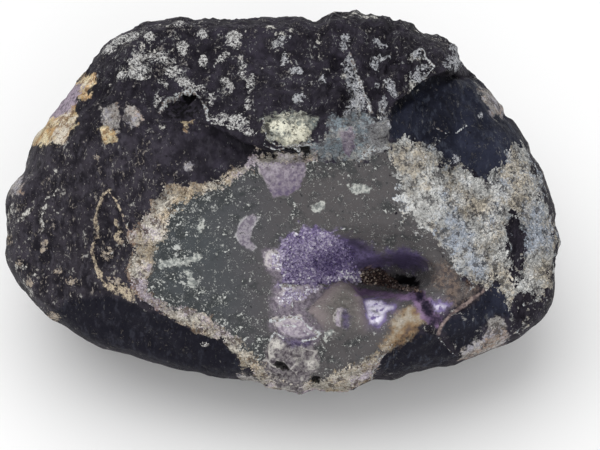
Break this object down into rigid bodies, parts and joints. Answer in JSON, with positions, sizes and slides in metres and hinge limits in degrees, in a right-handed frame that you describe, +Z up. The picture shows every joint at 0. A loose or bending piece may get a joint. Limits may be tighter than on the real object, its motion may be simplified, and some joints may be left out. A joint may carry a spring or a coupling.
{
  "type": "geode half",
  "caption": "Rounded black-skinned stone broken open at the front, with a grey agate face and a pocket lined with purple quartz points; lies on a small flat.",
  "frame": {"origin": "middle of the stone's footprint, at the height of the flat it rests on", "axes": "+X is the stone's length, to the right when its broken face is looked at; -Y is the side the broken face turns to; +Z is up"},
  "size_m": [0.1509, 0.1024, 0.0831],
  "materials": {
    "black_skin": "rough, with grey agate where it is broken",
    "amethyst_points": "glossy crystal faces"
  },
  "bodies": {
    "root": {"stone": "black_skin", "crystal_crust": "amethyst_points"}
  },
  "joints": []
}
